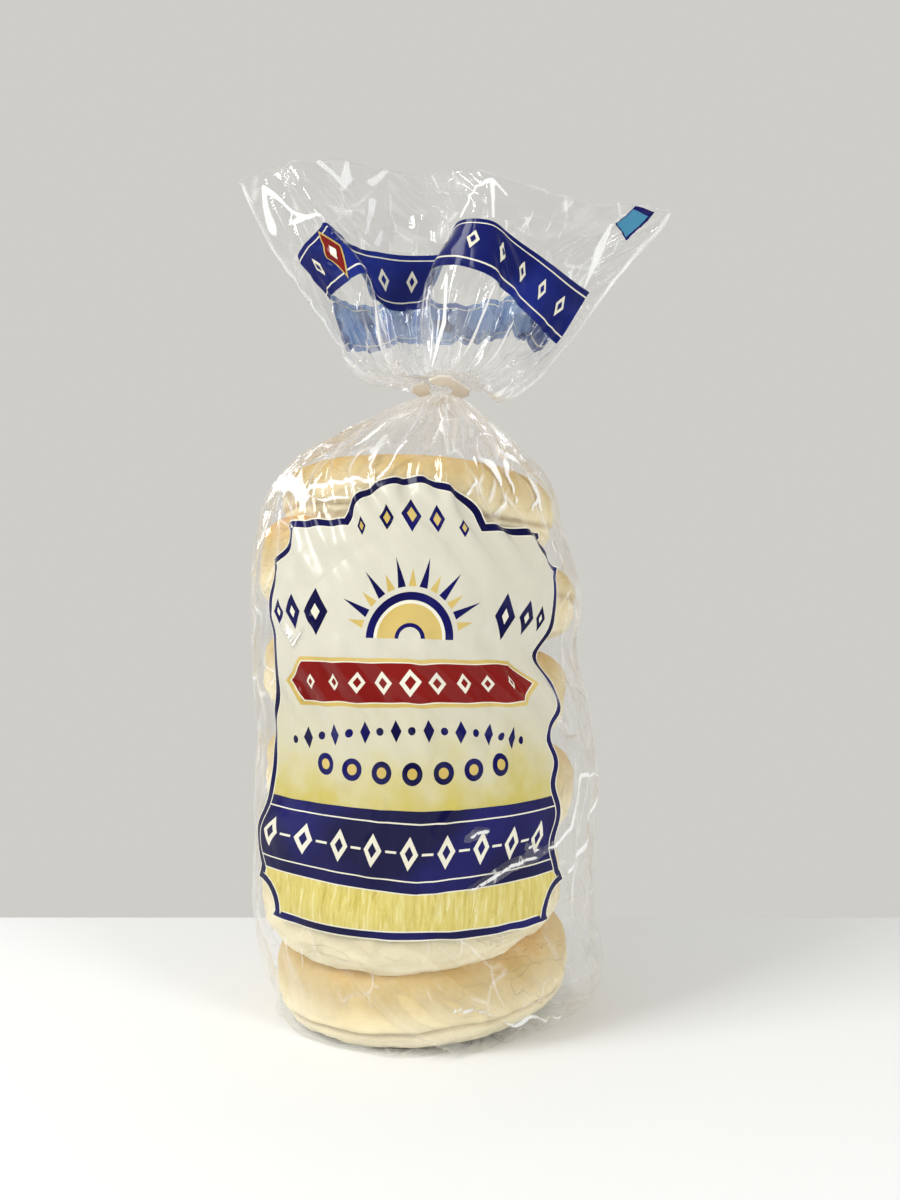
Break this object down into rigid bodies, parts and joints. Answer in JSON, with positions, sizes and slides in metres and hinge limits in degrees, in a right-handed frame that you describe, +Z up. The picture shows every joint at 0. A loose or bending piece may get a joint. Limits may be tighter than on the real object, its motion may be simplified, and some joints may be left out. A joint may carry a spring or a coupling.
{
  "type": "bag of bagels",
  "caption": "Clear film bag of plain bagels stacked flat and standing upright, with a printed front label, a gathered neck in a flat closure clip and a flared ruffle of spare film.",
  "frame": {"origin": "middle of the whole bag's bounding box at the base, level with the surface it stands on", "axes": "+Z up along the bagel stack towards the gathered neck, -Y towards the printed front, +X to the right of someone who faces the front"},
  "size_m": [0.1595, 0.1136, 0.2923],
  "materials": {
    "filled_film": "gloss",
    "clear_film": "gloss",
    "printed_film": "gloss",
    "bagel_crust": "matte",
    "frosted_plastic": "satin"
  },
  "bodies": {
    "root": {"filled_bag": "filled_film", "gathered_ruffle": "clear_film", "closure_clip": "frosted_plastic"}
  },
  "joints": []
}
